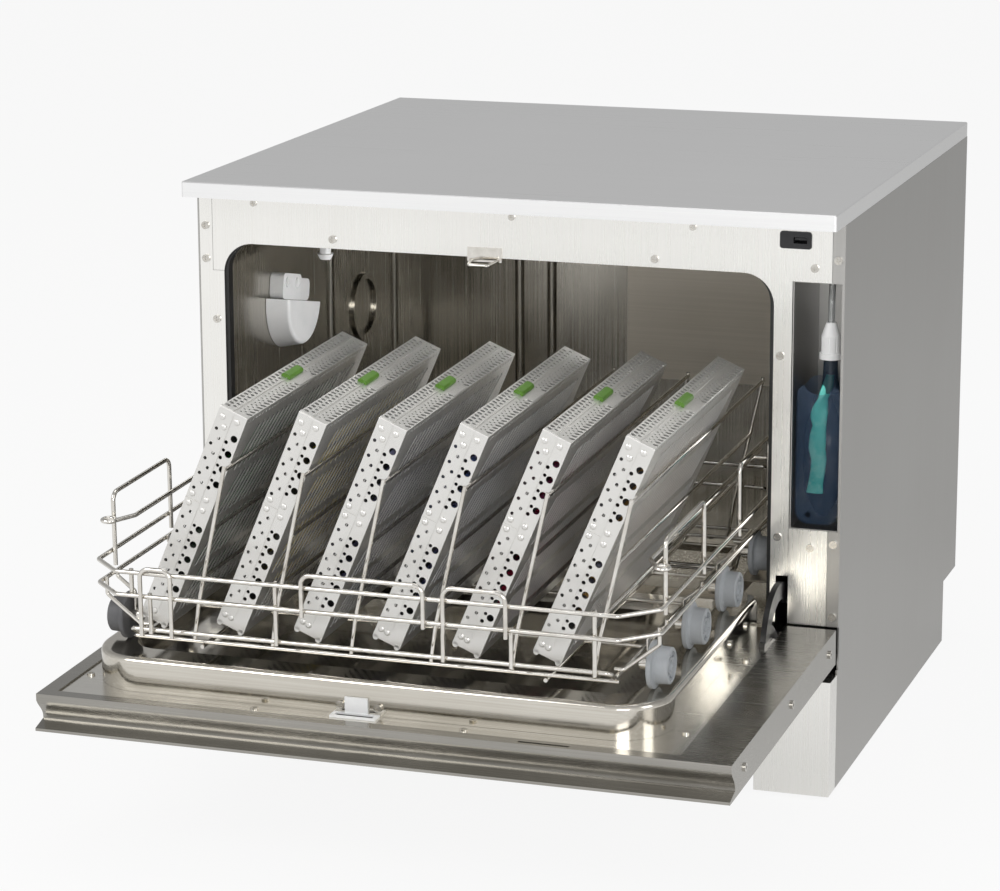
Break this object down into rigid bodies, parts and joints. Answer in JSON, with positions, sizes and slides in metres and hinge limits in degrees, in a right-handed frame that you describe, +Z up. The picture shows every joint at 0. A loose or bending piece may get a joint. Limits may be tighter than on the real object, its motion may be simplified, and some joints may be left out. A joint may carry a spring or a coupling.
{
  "type": "washer disinfector",
  "caption": "Bench washer-disinfector with its drop-down door open and a wheeled wire basket of perforated instrument cassettes rolled out onto the door.",
  "frame": {"origin": "on the bench, under the middle of the footprint with the door open", "axes": "+X towards the detergent bay side (the machine's right seen from in front), +Y towards the back, +Z up"},
  "size_m": [0.602, 0.9184, 0.522],
  "materials": {
    "lid_steel": "satin",
    "case_steel": "satin",
    "fascia_steel": "satin",
    "polished_steel": "polished",
    "chamber_steel": "polished",
    "bright_wire": "polished",
    "screw_steel": "polished",
    "black_plastic": "matt",
    "white_plastic": "semi-gloss",
    "grey_wheel": "matt",
    "dark_wheel": "matt",
    "seal": "matt",
    "black_arm": "satin",
    "clear_holder": "clear tinted",
    "bag_film": "clear tinted",
    "tube": "clear",
    "green_latch": "gloss",
    "brass_fitting": "machined",
    "rubber_foot": "matt"
  },
  "bodies": {
    "cabinet": {"top_cover": "lid_steel", "side_panel_left": "case_steel", "side_panel_right": "case_steel", "back_panel": "case_steel", "base_tray": "case_steel", "levelling_feet": "rubber_foot", "front_frame": "fascia_steel", "front_plates": "fascia_steel", "kick_cover": "fascia_steel", "plinth_front": "case_steel", "wash_tub": "chamber_steel", "tub_back_plate": "polished_steel", "door_gasket": "seal", "basket_tracks": "chamber_steel", "latch_striker": "bright_wire", "usb_port": "black_plastic", "duct_cover": "white_plastic", "ceiling_nozzle": "white_plastic", "sump_filter": "white_plastic", "bay_liner": "case_steel", "bag_holder": "clear_holder", "detergent_bag": "bag_film", "bag_cap": "white_plastic", "suction_tube": "tube", "water_connections": "brass_fitting", "power_inlet": "black_plastic", "cabinet_screws": "screw_steel", "hinge_brackets": "screw_steel"},
    "door": {"door_shell": "fascia_steel", "door_panel": "fascia_steel", "door_pan": "polished_steel", "latch_plate": "white_plastic", "door_arms": "black_arm", "door_screws": "screw_steel"},
    "arm": {"spray_arm": "polished_steel"},
    "rear_bogie": {"rear_axle": "bright_wire"},
    "basket": {"basket_rails": "bright_wire", "basket_handles": "bright_wire", "basket_base": "bright_wire", "basket_rack": "bright_wire"},
    "wheel_left_1": {"wheel_left_1": "dark_wheel"},
    "wheel_left_2": {"wheel_left_2": "dark_wheel"},
    "wheel_left_3": {"wheel_left_3": "dark_wheel"},
    "wheel_left_4": {"wheel_left_4": "dark_wheel"},
    "wheel_right_1": {"wheel_right_1": "grey_wheel"},
    "wheel_right_2": {"wheel_right_2": "grey_wheel"},
    "wheel_right_3": {"wheel_right_3": "grey_wheel"},
    "wheel_right_4": {"wheel_right_4": "grey_wheel"},
    "cassette_1": {"cassette_1": "fascia_steel", "cassette_latch_1": "green_latch"},
    "cassette_2": {"cassette_2": "fascia_steel", "cassette_latch_2": "green_latch"},
    "cassette_3": {"cassette_3": "fascia_steel", "cassette_latch_3": "green_latch"},
    "cassette_4": {"cassette_4": "fascia_steel", "cassette_latch_4": "green_latch"},
    "cassette_5": {"cassette_5": "fascia_steel", "cassette_latch_5": "green_latch"},
    "cassette_6": {"cassette_6": "fascia_steel", "cassette_latch_6": "green_latch"}
  },
  "joints": [
    {"name": "door_hinge", "type": "hinge", "parent": "cabinet", "child": "door", "pos_m": [0, -0.10927, 0.1385], "axis": [-1, 0, 0], "range_deg": [0, 91.4]},
    {"name": "spray_arm_turn", "type": "hinge", "parent": "cabinet", "child": "arm", "pos_m": [-0.0185, 0.16923, 0.14], "axis": [0, 0, 1], "continuous": true},
    {"name": "basket_roll", "type": "slide", "parent": "cabinet", "child": "rear_bogie", "axis": [0, -0.9997, -0.0244], "range_m": [-0.356, 0]},
    {"name": "basket_lift", "type": "slide", "parent": "rear_bogie", "child": "basket", "axis": [0, -0.7809, 0.6247], "range_m": [0, 0.8475]},
    {"name": "wheel_left_1_turn", "type": "hinge", "parent": "basket", "child": "wheel_left_1", "pos_m": [-0.256, -0.37315, 0.19177], "axis": [1, 0, 0], "continuous": true},
    {"name": "wheel_left_2_turn", "type": "hinge", "parent": "basket", "child": "wheel_left_2", "pos_m": [-0.256, -0.26688, 0.19437], "axis": [1, 0, 0], "continuous": true},
    {"name": "wheel_left_3_turn", "type": "hinge", "parent": "basket", "child": "wheel_left_3", "pos_m": [-0.256, -0.16051, 0.19697], "axis": [1, 0, 0], "continuous": true},
    {"name": "wheel_left_4_turn", "type": "hinge", "parent": "rear_bogie", "child": "wheel_left_4", "pos_m": [-0.256, -0.04924, 0.19969], "axis": [1, 0, 0], "continuous": true},
    {"name": "wheel_right_1_turn", "type": "hinge", "parent": "basket", "child": "wheel_right_1", "pos_m": [0.219, -0.37315, 0.19177], "axis": [1, 0, 0], "continuous": true},
    {"name": "wheel_right_2_turn", "type": "hinge", "parent": "basket", "child": "wheel_right_2", "pos_m": [0.219, -0.26688, 0.19437], "axis": [1, 0, 0], "continuous": true},
    {"name": "wheel_right_3_turn", "type": "hinge", "parent": "basket", "child": "wheel_right_3", "pos_m": [0.219, -0.16051, 0.19697], "axis": [1, 0, 0], "continuous": true},
    {"name": "wheel_right_4_turn", "type": "hinge", "parent": "rear_bogie", "child": "wheel_right_4", "pos_m": [0.219, -0.04924, 0.19969], "axis": [1, 0, 0], "continuous": true},
    {"name": "cassette_1_lift", "type": "slide", "parent": "basket", "child": "cassette_1", "axis": [0.3923, -0.0225, 0.9195], "range_m": [0, 0.065]},
    {"name": "cassette_2_lift", "type": "slide", "parent": "basket", "child": "cassette_2", "axis": [0.3923, -0.0225, 0.9195], "range_m": [0, 0.065]},
    {"name": "cassette_3_lift", "type": "slide", "parent": "basket", "child": "cassette_3", "axis": [0.3923, -0.0225, 0.9195], "range_m": [0, 0.065]},
    {"name": "cassette_4_lift", "type": "slide", "parent": "basket", "child": "cassette_4", "axis": [0.3923, -0.0225, 0.9195], "range_m": [0, 0.065]},
    {"name": "cassette_5_lift", "type": "slide", "parent": "basket", "child": "cassette_5", "axis": [0.3923, -0.0225, 0.9195], "range_m": [0, 0.065]},
    {"name": "cassette_6_lift", "type": "slide", "parent": "basket", "child": "cassette_6", "axis": [0.3923, -0.0225, 0.9195], "range_m": [0, 0.065]}
  ],
  "couplings": [
    {"joint": "basket_lift", "follows": "door_hinge", "m_per_rad": 0.53}
  ]
}
